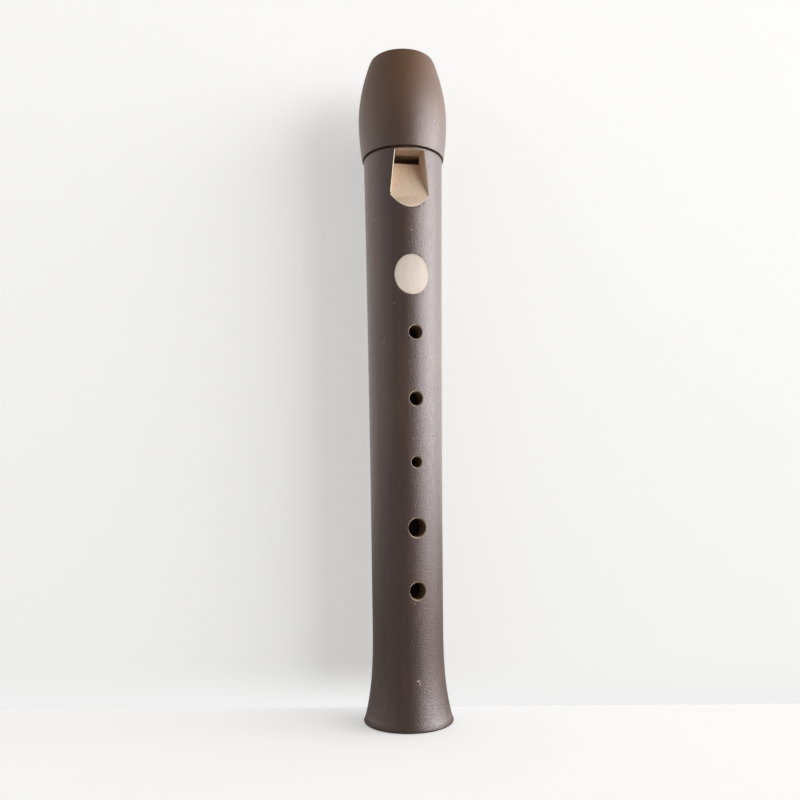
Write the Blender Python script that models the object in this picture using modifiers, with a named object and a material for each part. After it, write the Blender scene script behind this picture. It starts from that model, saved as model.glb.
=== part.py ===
"""A short wooden recorder with a turned cap over the mouth end.

It stands on its foot: +Z runs along the bore to the mouth, the origin is in the middle of the
foot's flat end, and the window and the finger holes face -Y. Sizes are in metres.
"""

import bmesh
import bpy
from math import cos, pi, radians, sin, sqrt, tan
from mathutils import Matrix

MM = 0.001

# Fits and facets
CLEARANCE = 0.3 * MM  # between pieces that touch
CUT_MARGIN = 3.0 * MM  # how far a cutter runs past the surface that it leaves
FACETS = 72  # sides of a turned piece
HOLE_FACETS = 24

# Body tube, outside
TUBE_LENGTH = 252.0 * MM  # foot end to the shoulder under the cap
TUBE_TOP_RADIUS = 18.25 * MM
TUBE_LOW_RADIUS = 15.25 * MM  # the long taper run on to the foot end, without the flare
TAPER_STRAIGHT_SHARE = 0.46  # the rest of the taper opens with the square of the height
FLARE_WIDTH = 4.25 * MM
FLARE_HEIGHT = 45.0 * MM
FLARE_POWER = 3.2
FOOT_EDGE_ROUND = 0.8 * MM
SHOULDER_EDGE_ROUND = 0.35 * MM

# Bore
HEAD_BORE_RADIUS = 9.0 * MM
FOOT_BORE_RADIUS = 6.9 * MM
HEAD_BORE_BELOW_LABIUM = 14.0 * MM  # the bore stays cylindrical this far below the labium
FOOT_BORE_CHAMFER = 0.8 * MM

# Tenon on top of the tube, and the cork ring in its groove
TENON_LENGTH = 18.0 * MM
TENON_RADIUS = 14.4 * MM
TENON_CHAMFER = 0.8 * MM
CORK_LENGTH = 8.0 * MM
CORK_THICKNESS = 1.3 * MM
CORK_PROUD = 0.4 * MM  # how far the cork stands out of the tenon
CORK_ABOVE_SHOULDER = 5.0 * MM

# Window and labium
WINDOW_BELOW_SHOULDER = 1.0 * MM
CUT_UP = 3.6 * MM  # windway exit to the labium's edge
LABIUM_HEIGHT = 9.3 * MM  # edge of the labium above the bore's axis
LABIUM_WIDTH = 11.95 * MM
LABIUM_EDGE = 0.25 * MM
RAMP_ANGLE = radians(20.1)
WINDOW_SPLAY = radians(6.1)  # the sides part towards the foot
WINDOW_DRAFT = radians(7.9)  # and lean outwards
UNDERCUT_LENGTH = 9.0 * MM

# Windway, between the block's floor and the roof cut in the tube and the cap
WINDWAY_WIDTH = 11.8 * MM
WINDWAY_FLOOR = 8.6 * MM  # above the bore's axis
WINDWAY_EXIT = 1.1 * MM
WINDWAY_ENTRY = 2.3 * MM
BLOCK_CHAMFER = 0.5 * MM

# Finger rest: a shallow saddle cut by a drum that lies across the tube
REST_HEIGHT = 194.0 * MM
REST_LENGTH = 18.4 * MM
REST_WIDTH = 15.3 * MM

# Finger holes as (height of the centre, diameter), and the thumb hole behind
FINGER_HOLES = (
    (168.2 * MM, 6.1 * MM),
    (139.0 * MM, 6.1 * MM),
    (111.5 * MM, 4.7 * MM),
    (83.5 * MM, 7.9 * MM),
    (56.9 * MM, 7.1 * MM),
)
THUMB_HOLE = (179.0 * MM, 6.0 * MM)
HOLE_ROW_TURN = radians(6.0)  # the row of holes is turned this far from the window, towards +X
HOLE_RIM = 0.5 * MM  # width of the countersunk rim

# Mouthpiece cap
CAP_LENGTH = 48.0 * MM  # tube shoulder to the mouth end
CAP_EDGE_RADIUS = 19.0 * MM
CAP_BELLY_RADIUS = 20.6 * MM
CAP_BELLY_HEIGHT = 20.0 * MM  # above the shoulder
CAP_MOUTH_RADIUS = 15.1 * MM
CAP_SHOULDER_POWER = 1.82
CAP_EDGE_ROUND = 0.4 * MM
CAP_MOUTH_ROUND = 0.9 * MM

# Beak: the concave cut behind the mouth end, through cap and block
BEAK_RADIUS = 31.7 * MM
BEAK_BACK = -1.0 * MM  # how far the cut reaches forward, measured from the axis
BEAK_CENTRE_ABOVE_MOUTH = 2.0 * MM

WOOD_STAINED = ("stained_wood", (0.078, 0.046, 0.032), 0.42)
WOOD_BARE = ("bare_wood", (0.62, 0.44, 0.29), 0.6)
CORK = ("cork", (0.42, 0.26, 0.14), 0.85)

# Heights that follow from the sizes above
MOUTH_HEIGHT = TUBE_LENGTH + CAP_LENGTH
TENON_TOP = TUBE_LENGTH + TENON_LENGTH
WINDOW_TOP = TUBE_LENGTH - WINDOW_BELOW_SHOULDER
LABIUM_EDGE_HEIGHT = WINDOW_TOP - CUT_UP
SOCKET_RADIUS = TENON_RADIUS + CORK_PROUD + CLEARANCE
GROOVE_RADIUS = TENON_RADIUS + CORK_PROUD - CORK_THICKNESS - CLEARANCE
CORK_BOTTOM = TUBE_LENGTH + CORK_ABOVE_SHOULDER


def clear_scene():
    for obj in list(bpy.data.objects):
        bpy.data.objects.remove(obj)


def make_collection(name):
    collection = bpy.data.collections.new(name)
    bpy.context.scene.collection.children.link(collection)
    return collection


def make_material(name, colour, roughness):
    material = bpy.data.materials.new(name)
    material.use_nodes = True
    shader = material.node_tree.nodes["Principled BSDF"]
    shader.inputs["Base Color"].default_value = (*colour, 1.0)
    shader.inputs["Roughness"].default_value = roughness
    shader.inputs["Metallic"].default_value = 0.0
    return material


def add_object(name, mesh, collection):
    obj = bpy.data.objects.new(name, mesh)
    collection.objects.link(obj)
    return obj


def as_cutter(obj):
    obj.hide_render = True
    obj.display_type = "WIRE"
    return obj


def turned(name, profile, collection, closed=False, facets=FACETS):
    """A profile of (radius, height) points, its outer side from top to bottom, turned about Z."""
    shape = bmesh.new()
    points = [shape.verts.new((radius, 0.0, height)) for radius, height in profile]
    ends = list(zip(points, points[1:]))
    if closed:
        ends.append((points[-1], points[0]))
    for start, end in ends:
        shape.edges.new((start, end))
    mesh = bpy.data.meshes.new(name)
    shape.to_mesh(mesh)
    shape.free()
    obj = add_object(name, mesh, collection)
    screw = obj.modifiers.new("turn", "SCREW")
    screw.steps = facets
    screw.render_steps = facets
    screw.use_merge_vertices = True
    screw.merge_threshold = 0.00001
    screw.use_smooth_shade = True
    return obj


def box(name, low, high, collection):
    shape = bmesh.new()
    size = [b - a for a, b in zip(low, high)]
    centre = [(a + b) / 2 for a, b in zip(low, high)]
    place = Matrix.Translation(centre) @ Matrix.Diagonal((*size, 1.0))
    bmesh.ops.create_cube(shape, size=1.0, matrix=place)
    mesh = bpy.data.meshes.new(name)
    shape.to_mesh(mesh)
    shape.free()
    return add_object(name, mesh, collection)


def drum_across(name, radius, length, back, height, collection, facets):
    """A cylinder lying along X, with its axis at y = back and z = height."""
    shape = bmesh.new()
    bmesh.ops.create_cone(
        shape, cap_ends=True, segments=facets, radius1=radius, radius2=radius, depth=length
    )
    mesh = bpy.data.meshes.new(name)
    shape.to_mesh(mesh)
    shape.free()
    obj = add_object(name, mesh, collection)
    obj.rotation_euler = (0.0, pi / 2, 0.0)
    obj.location = (0.0, back, height)
    return obj


def slab(name, outline, half_width, collection):
    """A closed outline of (y, z) points, given width along X: half_width(y, z) to each side."""
    shape = bmesh.new()
    face = shape.faces.new([shape.verts.new((0.0, y, z)) for y, z in outline])
    made = bmesh.ops.extrude_face_region(shape, geom=[face])["geom"]
    moved = {item for item in made if isinstance(item, bmesh.types.BMVert)}
    for point in shape.verts:
        side = 1.0 if point in moved else -1.0
        point.co.x = side * half_width(point.co.y, point.co.z)
    bmesh.ops.recalc_face_normals(shape, faces=shape.faces)
    mesh = bpy.data.meshes.new(name)
    shape.to_mesh(mesh)
    shape.free()
    return add_object(name, mesh, collection)


def boolean(obj, other, operation):
    modifier = obj.modifiers.new(f"{operation.lower()} {other.name}", "BOOLEAN")
    modifier.operation = operation
    modifier.object = other
    modifier.solver = "EXACT"


def cut(obj, *cutters):
    for cutter in cutters:
        boolean(obj, as_cutter(cutter), "DIFFERENCE")


def finish(obj, material):
    """Applies the modifiers, and shades round faces smooth and corners sharp."""
    graph = bpy.context.evaluated_depsgraph_get()
    mesh = bpy.data.meshes.new_from_object(obj.evaluated_get(graph))
    obj.modifiers.clear()
    obj.data = mesh
    mesh.materials.clear()
    mesh.materials.append(material)
    mesh.shade_smooth()
    mesh.set_sharp_from_angle(angle=radians(30))


def spaced(start, end, count):
    """count heights from start to end, both included."""
    return [start + (end - start) * i / (count - 1) for i in range(count)]


def rounded_corner(radius, height, size, inward, upward, count=4):
    """A quarter round for a profile's corner, as (radius, height) points from face to side.

    inward is +1 where the flat face lies above the corner's side, and -1 where below.
    """
    points = []
    for i in range(count + 1):
        turn = pi / 2 * i / count
        points.append((radius - size * (1 - sin(turn)), height - upward * size * (1 - cos(turn))))
    return points if inward > 0 else points[::-1]


def tube_radius(height):
    """Outside radius of the tube: a long taper, and the flare at the foot."""
    share = height / TUBE_LENGTH
    bowed = TAPER_STRAIGHT_SHARE * share + (1 - TAPER_STRAIGHT_SHARE) * share**2
    flare = max(0.0, 1 - height / FLARE_HEIGHT) ** FLARE_POWER
    return TUBE_LOW_RADIUS + (TUBE_TOP_RADIUS - TUBE_LOW_RADIUS) * bowed + FLARE_WIDTH * flare


def bore_radius(height):
    """Radius of the bore: a cylinder past the labium, then a taper to the foot."""
    cylinder_end = LABIUM_EDGE_HEIGHT - HEAD_BORE_BELOW_LABIUM
    share = min(1.0, max(0.0, height / cylinder_end))
    return FOOT_BORE_RADIUS + (HEAD_BORE_RADIUS - FOOT_BORE_RADIUS) * share


def cap_radius(above_shoulder):
    """Outside radius of the cap: a belly that draws in gently to the edge and more to the mouth."""
    if above_shoulder < CAP_BELLY_HEIGHT:
        share = 1 - above_shoulder / CAP_BELLY_HEIGHT
        return CAP_BELLY_RADIUS - (CAP_BELLY_RADIUS - CAP_EDGE_RADIUS) * share**2
    share = (above_shoulder - CAP_BELLY_HEIGHT) / (CAP_LENGTH - CAP_BELLY_HEIGHT)
    return CAP_BELLY_RADIUS - (CAP_BELLY_RADIUS - CAP_MOUTH_RADIUS) * share**CAP_SHOULDER_POWER


def windway_roof(height):
    """Height of the windway's roof above the bore's axis. It rises towards the mouth."""
    share = (height - WINDOW_TOP) / (MOUTH_HEIGHT - WINDOW_TOP)
    return WINDWAY_FLOOR + WINDWAY_EXIT + (WINDWAY_ENTRY - WINDWAY_EXIT) * share


def window_half_width(y, z):
    """Half the width of the window, whose sides splay towards the foot and lean outwards."""
    outward = -y - LABIUM_HEIGHT
    down = LABIUM_EDGE_HEIGHT - z
    return LABIUM_WIDTH / 2 + down * tan(WINDOW_SPLAY) + outward * tan(WINDOW_DRAFT)


def tube_profile():
    """The tube's section as a closed loop: tenon, outside, foot end and bore."""
    groove_low = CORK_BOTTOM - CLEARANCE
    groove_high = CORK_BOTTOM + CORK_LENGTH + CLEARANCE
    tenon = [
        (TENON_RADIUS - TENON_CHAMFER, TENON_TOP),
        (TENON_RADIUS, TENON_TOP - TENON_CHAMFER),
        (TENON_RADIUS, groove_high),
        (GROOVE_RADIUS, groove_high),
        (GROOVE_RADIUS, groove_low),
        (TENON_RADIUS, groove_low),
        (TENON_RADIUS, TUBE_LENGTH),
    ]
    shoulder = rounded_corner(tube_radius(TUBE_LENGTH), TUBE_LENGTH, SHOULDER_EDGE_ROUND, 1, 1, 2)
    taper_heights = spaced(TUBE_LENGTH - 2 * SHOULDER_EDGE_ROUND, FLARE_HEIGHT, 10)
    flare_heights = spaced(FLARE_HEIGHT, FOOT_EDGE_ROUND, 14)[1:-1]
    side = [(tube_radius(height), height) for height in taper_heights + flare_heights]
    foot_corner = rounded_corner(tube_radius(0.0), 0.0, FOOT_EDGE_ROUND, -1, -1, 3)
    bore = [
        (bore_radius(0.0) + FOOT_BORE_CHAMFER, 0.0),
        (bore_radius(FOOT_BORE_CHAMFER), FOOT_BORE_CHAMFER),
        (HEAD_BORE_RADIUS, LABIUM_EDGE_HEIGHT - HEAD_BORE_BELOW_LABIUM),
        (HEAD_BORE_RADIUS, TENON_TOP),
    ]
    return tenon + shoulder + side + foot_corner + bore


def window_cutter(cutters):
    """The window through to the bore, with the ramp that rises from the labium to the outside."""
    outside = -(TUBE_TOP_RADIUS + CUT_MARGIN)
    ramp_end = LABIUM_EDGE_HEIGHT - (-outside - LABIUM_HEIGHT) / tan(RAMP_ANGLE)
    inside = -(sqrt(HEAD_BORE_RADIUS**2 - (WINDWAY_WIDTH / 2) ** 2) - CUT_MARGIN)
    outline = [
        (inside, WINDOW_TOP),
        (outside, WINDOW_TOP),
        (outside, ramp_end),
        (-LABIUM_HEIGHT, LABIUM_EDGE_HEIGHT),
        (inside, LABIUM_EDGE_HEIGHT),
    ]
    return slab("window_cutter", outline, window_half_width, cutters)


def undercut_cutter(cutters):
    """A wedge under the labium, so that its edge is thin and straight across the round bore."""
    under = -(LABIUM_HEIGHT - LABIUM_EDGE)
    inside = -(sqrt(HEAD_BORE_RADIUS**2 - (LABIUM_WIDTH / 2) ** 2) - CUT_MARGIN)
    above = LABIUM_EDGE_HEIGHT + CUT_UP / 2
    outline = [
        (inside, above),
        (under, above),
        (under, LABIUM_EDGE_HEIGHT - UNDERCUT_LENGTH / 3),
        (inside, LABIUM_EDGE_HEIGHT - UNDERCUT_LENGTH),
    ]
    return slab("undercut_cutter", outline, lambda y, z: LABIUM_WIDTH / 2, cutters)


def windway_cutter(cutters, name, low, high):
    """The channel of the windway between two heights, open to the bore."""
    outline = [(0.0, low), (0.0, high), (-windway_roof(high), high), (-windway_roof(low), low)]
    return slab(name, outline, lambda y, z: WINDWAY_WIDTH / 2, cutters)


def finger_rest_cutter(cutters):
    """The drum of the finger rest. Its depth gives the width, and its radius the length."""
    radius = tube_radius(REST_HEIGHT)
    depth = radius - sqrt(radius**2 - (REST_WIDTH / 2) ** 2)
    drum = ((REST_LENGTH / 2) ** 2 + depth**2) / (2 * depth)
    return drum_across(
        "finger_rest_cutter", drum, 3 * REST_WIDTH, -(radius - depth + drum), REST_HEIGHT, cutters, 144
    )


def hole_cutter(name, height, diameter, turn, cutters):
    """A drilled hole with a countersunk rim, square to the bore, at a turn from the front."""
    outer = tube_radius(height)
    radius = diameter / 2
    rim = radius + HOLE_RIM
    surface = sqrt(outer**2 - rim**2 / 2)
    profile = [
        (0.0, outer + CUT_MARGIN),
        (rim + outer + CUT_MARGIN - surface, outer + CUT_MARGIN),
        (radius, surface - HOLE_RIM),
        (radius, 0.0),
        (0.0, 0.0),
    ]
    obj = turned(name, profile, cutters, facets=HOLE_FACETS)
    obj.rotation_euler = (pi / 2, 0.0, turn)
    obj.location = (0.0, 0.0, height)
    return obj


def make_body_tube(parts, cutters):
    tube = turned("body_tube", tube_profile(), parts, closed=True)
    roof_top = TENON_TOP + CUT_MARGIN
    cut(
        tube,
        windway_cutter(cutters, "tube_windway_cutter", WINDOW_TOP - CUT_UP / 2, roof_top),
        window_cutter(cutters),
        undercut_cutter(cutters),
        finger_rest_cutter(cutters),
    )
    for number, (height, diameter) in enumerate(FINGER_HOLES, 1):
        name = f"finger_hole_{number}_cutter"
        cut(tube, hole_cutter(name, height, diameter, HOLE_ROW_TURN, cutters))
    cut(tube, hole_cutter("thumb_hole_cutter", *THUMB_HOLE, HOLE_ROW_TURN + pi, cutters))
    return tube


def make_tenon_cork(parts):
    inner = TENON_RADIUS + CORK_PROUD - CORK_THICKNESS
    outer = TENON_RADIUS + CORK_PROUD
    profile = [
        (inner, CORK_BOTTOM + CORK_LENGTH),
        (outer, CORK_BOTTOM + CORK_LENGTH),
        (outer, CORK_BOTTOM),
        (inner, CORK_BOTTOM),
    ]
    return turned("tenon_cork", profile, parts, closed=True)


def beak_cutter(name, cutters):
    return drum_across(
        name,
        BEAK_RADIUS,
        3 * CAP_BELLY_RADIUS,
        BEAK_BACK + BEAK_RADIUS,
        MOUTH_HEIGHT + BEAK_CENTRE_ABOVE_MOUTH,
        cutters,
        128,
    )


def cap_profile():
    """The cap's section as a closed loop: mouth end, outside, lower edge, socket and bore."""
    bottom = TUBE_LENGTH + CLEARANCE
    socket_top = TENON_TOP + CLEARANCE
    mouth = rounded_corner(cap_radius(CAP_LENGTH), MOUTH_HEIGHT, CAP_MOUTH_ROUND, 1, 1, 4)
    heights = spaced(CAP_LENGTH - CAP_MOUTH_ROUND, CLEARANCE + CAP_EDGE_ROUND, 20)[1:-1]
    side = [(cap_radius(height), TUBE_LENGTH + height) for height in heights]
    edge = rounded_corner(cap_radius(CLEARANCE), bottom, CAP_EDGE_ROUND, -1, -1, 3)
    inside = [
        (SOCKET_RADIUS + CAP_EDGE_ROUND, bottom),
        (SOCKET_RADIUS, bottom + CAP_EDGE_ROUND),
        (SOCKET_RADIUS, socket_top),
        (HEAD_BORE_RADIUS, socket_top),
        (HEAD_BORE_RADIUS, MOUTH_HEIGHT),
    ]
    return mouth + side + edge + inside


def make_mouthpiece_cap(parts, cutters):
    cap = turned("mouthpiece_cap", cap_profile(), parts, closed=True)
    cut(
        cap,
        windway_cutter(cutters, "cap_windway_cutter", TENON_TOP - CUT_MARGIN, MOUTH_HEIGHT + CUT_MARGIN),
        beak_cutter("cap_beak_cutter", cutters),
    )
    return cap


def make_block(parts, cutters):
    """The block: a plug in the bore, whose raised flat top is the windway's floor."""
    radius = HEAD_BORE_RADIUS - CLEARANCE
    profile = [
        (0.0, MOUTH_HEIGHT),
        (radius, MOUTH_HEIGHT),
        (radius, WINDOW_TOP + BLOCK_CHAMFER),
        (radius - BLOCK_CHAMFER, WINDOW_TOP),
        (0.0, WINDOW_TOP),
    ]
    block = turned("block", profile, parts)
    ridge = (WINDWAY_WIDTH / 2 - CLEARANCE, WINDWAY_FLOOR)
    floor = as_cutter(
        box(
            "block_floor_form",
            (-ridge[0], -ridge[1], WINDOW_TOP),
            (ridge[0], 0.0, MOUTH_HEIGHT),
            cutters,
        )
    )
    boolean(block, floor, "UNION")
    trim = box(
        "block_crown_cutter",
        (-HEAD_BORE_RADIUS, -HEAD_BORE_RADIUS - CUT_MARGIN, WINDOW_TOP - CUT_MARGIN),
        (HEAD_BORE_RADIUS, -WINDWAY_FLOOR, MOUTH_HEIGHT + CUT_MARGIN),
        cutters,
    )
    cut(block, trim, beak_cutter("block_beak_cutter", cutters))
    return block


def main():
    clear_scene()
    parts = make_collection("recorder")
    cutters = make_collection("cutters")
    stained = make_material(*WOOD_STAINED)
    bare = make_material(*WOOD_BARE)
    cork = make_material(*CORK)
    finish(make_body_tube(parts, cutters), stained)
    finish(make_tenon_cork(parts), cork)
    finish(make_mouthpiece_cap(parts, cutters), stained)
    finish(make_block(parts, cutters), bare)


main()
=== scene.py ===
"""Looks of the short wooden recorder: finely turned pieces, wood, cork, light and camera.

It stands on its foot in the CAD's frame: +Z runs along the bore to the mouth, and the window and
the finger holes face -Y. Sizes are in metres.
"""

from math import cos, pi, radians, sin, sqrt, tan

import bmesh
import bpy
from mathutils import Matrix, Vector


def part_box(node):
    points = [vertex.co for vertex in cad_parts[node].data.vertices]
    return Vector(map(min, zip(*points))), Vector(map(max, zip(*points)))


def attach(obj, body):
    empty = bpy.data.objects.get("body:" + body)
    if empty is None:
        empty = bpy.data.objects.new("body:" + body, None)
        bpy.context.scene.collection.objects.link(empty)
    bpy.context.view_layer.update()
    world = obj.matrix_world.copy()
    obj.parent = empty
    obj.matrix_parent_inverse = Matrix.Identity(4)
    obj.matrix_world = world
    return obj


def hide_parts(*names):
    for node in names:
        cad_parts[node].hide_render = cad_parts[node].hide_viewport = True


MM = 0.001

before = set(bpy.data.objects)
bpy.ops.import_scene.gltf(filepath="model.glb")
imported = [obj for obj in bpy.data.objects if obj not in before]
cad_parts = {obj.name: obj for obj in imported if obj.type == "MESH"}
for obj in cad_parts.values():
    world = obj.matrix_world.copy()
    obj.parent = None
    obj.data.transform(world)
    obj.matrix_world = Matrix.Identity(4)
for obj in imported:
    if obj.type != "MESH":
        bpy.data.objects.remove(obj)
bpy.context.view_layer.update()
TUBE_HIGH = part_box("body_tube")[1]
CAP_LOW, CAP_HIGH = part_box("mouthpiece_cap")
BLOCK_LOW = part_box("block")[0]
CORK_LOW, CORK_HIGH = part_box("tenon_cork")

# Fineness of the pieces
SIDES = 160
HOLE_SIDES = 64
REST_SIDES = 360
BEAK_SIDES = 256
GOUGE_FINENESS = 3
RING_STEP = 2.0 * MM
BORE_RING_STEP = 5.0 * MM
PATH_RADIUS = 10.0 * MM  # of the circle that the lathe sweeps an outline along
SWEEP_MERGE = 0.01 * MM
DOUBLES_DISTANCE = 0.001 * MM
SHARP_ANGLE = radians(30)
EDGE_ROUNDS = 4  # in which the window's edge is closed in on
EASE_STEP = 0.05 * MM
CUT_MARGIN = 3.0 * MM  # how far a cutter runs past the surface that it leaves
CLEARANCE = 0.3 * MM  # between pieces that touch

# Heights that the frame gives
TENON_TOP = TUBE_HIGH.z
MOUTH_HEIGHT = CAP_HIGH.z
CAP_BOTTOM = CAP_LOW.z
WINDOW_TOP = BLOCK_LOW.z
TUBE_LENGTH = CAP_BOTTOM - CLEARANCE

# Body tube, outside
TUBE_TOP_RADIUS = 18.25 * MM
TUBE_LOW_RADIUS = 15.25 * MM
TAPER_STRAIGHT_SHARE = 0.46
FLARE_WIDTH = TUBE_HIGH.x - TUBE_LOW_RADIUS
FLARE_HEIGHT = 45.0 * MM
FLARE_POWER = 3.2
FOOT_EDGE_ROUND = 0.8 * MM
SHOULDER_EDGE_ROUND = 0.35 * MM

# Bore, tenon and cork
HEAD_BORE_RADIUS = 9.0 * MM
FOOT_BORE_RADIUS = 6.9 * MM
HEAD_BORE_BELOW_LABIUM = 14.0 * MM
FOOT_BORE_CHAMFER = 0.8 * MM
TENON_RADIUS = 14.4 * MM
TENON_CHAMFER = 0.8 * MM
CORK_RADIUS = CORK_HIGH.x
CORK_THICKNESS = 1.3 * MM
CORK_EDGE_ROUND = 0.35 * MM

# Window, labium and windway
CUT_UP = 3.6 * MM
LABIUM_EDGE_HEIGHT = WINDOW_TOP - CUT_UP
LABIUM_HEIGHT = 9.3 * MM
LABIUM_WIDTH = 11.95 * MM
LABIUM_EDGE = 0.25 * MM
RAMP_ANGLE = radians(20.1)
CREASE_BELOW_LABIUM = 11.3 * MM  # where the knife's first pass ended, in the middle
CREASE_SLANT = 0.36  # rise of its mark to the right
CREASE_WIDTH = 0.35 * MM
WINDOW_SPLAY = radians(6.1)
WINDOW_DRAFT = radians(7.9)
WINDOW_EASE = 0.3 * MM  # depth of the bevel along the window's long edges
WINDOW_EASE_ANGLE = radians(55)
EASE_OVERLAP = 0.25 * MM  # how far the bevel's cutter starts inside the window
UNDERCUT_LENGTH = 9.0 * MM
WINDWAY_WIDTH = 11.8 * MM
WINDWAY_FLOOR = 8.6 * MM
WINDWAY_EXIT = 1.1 * MM
WINDWAY_ENTRY = 2.3 * MM
BLOCK_CHAMFER = 0.5 * MM

# Finger rest and holes
REST_HEIGHT = 193.6 * MM
REST_LENGTH = 18.0 * MM
REST_TURN = radians(1.7)
REST_WIDTH = 15.3 * MM
FINGER_HOLES = (
    (168.2 * MM, 6.1 * MM),
    (139.0 * MM, 6.1 * MM),
    (111.5 * MM, 4.7 * MM),
    (83.5 * MM, 7.9 * MM),
    (56.9 * MM, 7.1 * MM),
)
THUMB_HOLE = (179.0 * MM, 6.0 * MM)
HOLE_ROW_TURN = radians(6.0)
HOLE_RIM = 0.35 * MM

# A small hook-shaped nick at the foot, as two gouges: sideways, height, half length, lean
NICK_TURN = radians(6.0)
NICK_GOUGES = (
    (0.25 * MM, 19.1 * MM, 1.15 * MM, radians(-4)),
    (-0.35 * MM, 20.25 * MM, 0.8 * MM, radians(68)),
)
NICK_HALF_WIDTH = 0.22 * MM
NICK_DEPTH = 0.2 * MM

# Mouthpiece cap and the beak's cut behind it
CAP_LENGTH = MOUTH_HEIGHT - TUBE_LENGTH
CAP_EDGE_RADIUS = 19.0 * MM
CAP_BELLY_RADIUS = CAP_HIGH.x
CAP_BELLY_HEIGHT = 20.0 * MM
CAP_MOUTH_RADIUS = 15.1 * MM
CAP_SHOULDER_POWER = 1.82
CAP_EDGE_ROUND = 0.4 * MM
CAP_MOUTH_ROUND = 0.5 * MM
SOCKET_RADIUS = CORK_RADIUS + CLEARANCE
BEAK_RADIUS = 31.7 * MM
BEAK_BACK = -1.0 * MM
BEAK_CENTRE_ABOVE_MOUTH = 2.0 * MM

# The varnish: fine pebbles, and its wear on the cap
PEBBLE_DEPTH = 0.048 * MM
WORN_LENGTH = 0.7 * CAP_LENGTH  # from the cap's lower edge up to where the wear is full
WORN_LEAST = 0.3  # share of the wear at the lower edge

# Camera: the window shows turned this far to the picture's right
VIEW_TURN = radians(10.7)
CAMERA_DISTANCE = 354.5 * MM
CAMERA_HEIGHT = 101.7 * MM
CAMERA_PITCH = radians(6.176)
CAMERA_YAW = radians(-0.397)
CAMERA_ROLL = radians(-0.588)
CAMERA_LENS = 35.37
CAMERA_NEAR = 0.01
CAMERA_FAR = 20.0
SIDEWAYS = Vector((cos(VIEW_TURN), -sin(VIEW_TURN), 0.0))
ONWARD = Vector((sin(VIEW_TURN), cos(VIEW_TURN), 0.0))
UPWARD = Vector((0.0, 0.0, 1.0))

# Light: a broad window at the picture's right, and even light from all round
KEY_TURN = radians(71.0)  # from the view's axis
KEY_RISE = radians(11.0)
KEY_DISTANCE = 4.8
KEY_WIDTH = 5.6
KEY_HEIGHT = 3.2
KEY_POWER = 268.0
FRONT_LIGHT = 0.20  # from the camera's side
BACK_LIGHT = 1.0  # from the backdrop's side
LEFT_LIGHT = 0.42  # added at the picture's left
SIDE_LIGHT = 2.4  # added at the picture's right, from behind
SIDE_LIGHT_TURN = radians(112.0)
SIDE_LIGHT_POWER = 4.0
TOP_LIGHT_SHARE = 0.35  # of the even light, from straight above
TOP_LIGHT_FROM = 0.35  # sines of the rise between which the light fades to it
TOP_LIGHT_TO = 0.9
BACKDROP_BEHIND = 21.0 * MM
BACKDROP_BLEND_HEIGHT = 22.0 * MM  # up to which the backdrop fades into the floor
STAGE_SIZE = 3.0
SEEN_WHITE = 0.93  # of what lies past the floor and the backdrop, for the camera
FLOOR_GLOW = 0.31  # added for the camera alone, so that the paper looks white
BACKDROP_GLOW = 0.40
BACKDROP_FOOT = 0.875  # brightness of the backdrop where it meets the floor

# Colours
STAIN_DARK = (0.042, 0.018, 0.009)
STAIN_MID = (0.084, 0.036, 0.018)
STAIN_WARM = (0.130, 0.060, 0.030)
STAIN_WORN = (0.135, 0.058, 0.018)
BARE_LIGHT = (0.77, 0.58, 0.42)
BARE_MID = (0.69, 0.50, 0.35)
# Paler wood: the knife's pale mark on the ramp, and a painted highlight on the window's edges,
# bevel and lower ramp
PALE_MARK_AND_PAINTED_HIGHLIGHT = (0.80, 0.69, 0.55)
# Finger rest wood: the wood's colour made paler, a painted highlight for the glare on the rest
REST_LIGHT = (0.93, 0.82, 0.73)
REST_MID = (0.86, 0.74, 0.64)
REST_EDGE = (0.74, 0.57, 0.43)
RIM_LIGHT = (0.52, 0.41, 0.31)
RIM_MID = (0.42, 0.31, 0.22)
# Walls of the drilled holes: darker than the cut wood, as painted shade inside the holes
HOLE_LIGHT = (0.34, 0.23, 0.14)
HOLE_DARK = (0.20, 0.12, 0.07)
# Bore and windway wood: a dark brown that paints the shade inside the bore
BORE_LIGHT = (0.27, 0.18, 0.11)
BORE_DARK = (0.16, 0.10, 0.06)
BLOCK_LIGHT = (0.54, 0.36, 0.23)
BLOCK_MID = (0.40, 0.24, 0.14)
CORK_LIGHT = (0.56, 0.38, 0.22)
CORK_DARK = (0.22, 0.12, 0.06)
PAPER = (0.88, 0.88, 0.875)
PAPER_DIM = (0.32, 0.32, 0.32)
BLACK = (0.0, 0.0, 0.0)
WHITE = (1.0, 1.0, 1.0)
WARM_LIGHT = (1.0, 0.90, 0.83)  # from the picture's left
VARNISH_TINT = (1.0, 0.94, 0.97, 1.0)


def spaced(start, end, step):
    """Heights from start to end, both included, about step apart."""
    count = max(1, round(abs(end - start) / step))
    return [start + (end - start) * i / count for i in range(count + 1)]


def rounded_corner(radius, height, size, upward, count=6):
    """A quarter round as (radius, height) points. It goes down the side, or up it for -1."""
    points = []
    for i in range(count + 1):
        turn = pi / 2 * i / count
        points.append((radius - size * (1 - sin(turn)), height - upward * size * (1 - cos(turn))))
    return points if upward > 0 else points[::-1]


def tube_radius(height):
    """Outside radius of the tube: a long taper, and the flare at the foot."""
    share = height / TUBE_LENGTH
    bowed = TAPER_STRAIGHT_SHARE * share + (1 - TAPER_STRAIGHT_SHARE) * share**2
    flare = max(0.0, 1 - height / FLARE_HEIGHT) ** FLARE_POWER
    return TUBE_LOW_RADIUS + (TUBE_TOP_RADIUS - TUBE_LOW_RADIUS) * bowed + FLARE_WIDTH * flare


def bore_radius(height):
    cylinder_end = LABIUM_EDGE_HEIGHT - HEAD_BORE_BELOW_LABIUM
    share = min(1.0, max(0.0, height / cylinder_end))
    return FOOT_BORE_RADIUS + (HEAD_BORE_RADIUS - FOOT_BORE_RADIUS) * share


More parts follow.
